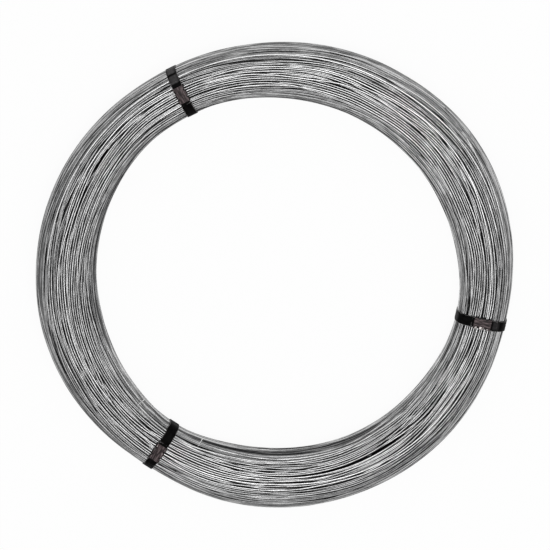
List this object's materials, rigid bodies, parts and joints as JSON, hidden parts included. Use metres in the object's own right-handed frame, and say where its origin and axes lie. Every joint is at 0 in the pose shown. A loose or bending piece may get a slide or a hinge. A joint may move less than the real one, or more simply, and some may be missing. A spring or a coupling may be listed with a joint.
{
  "type": "coil of galvanized wire",
  "caption": "Ring-shaped bundle of galvanized steel wire wound in turns, lying flat, bound by flat steel straps with crimped seals: raw stock for fencing and tying.",
  "frame": {"origin": "on the coil's axis, at the level of the floor it rests on", "axes": "+Z up along the coil's axis; +X to the right and +Y up as the picture shows the coil from above"},
  "size_m": [0.728, 0.728, 0.066],
  "materials": {
    "galvanized_wire": "satin zinc coat, drawn wire",
    "strap_steel": "black lacquer, worn at the edges",
    "seal_steel": "dull brownish grey, scratched at the crimps",
    "tie_wire": "bright zinc coat"
  },
  "bodies": {
    "root": {"wire_coil": "galvanized_wire", "strap_1": "strap_steel", "strap_2": "strap_steel", "strap_3": "strap_steel", "seal_1": "seal_steel", "seal_2": "seal_steel", "seal_3": "seal_steel", "tie_wire_1": "tie_wire", "tie_wire_2": "tie_wire"}
  },
  "joints": []
}
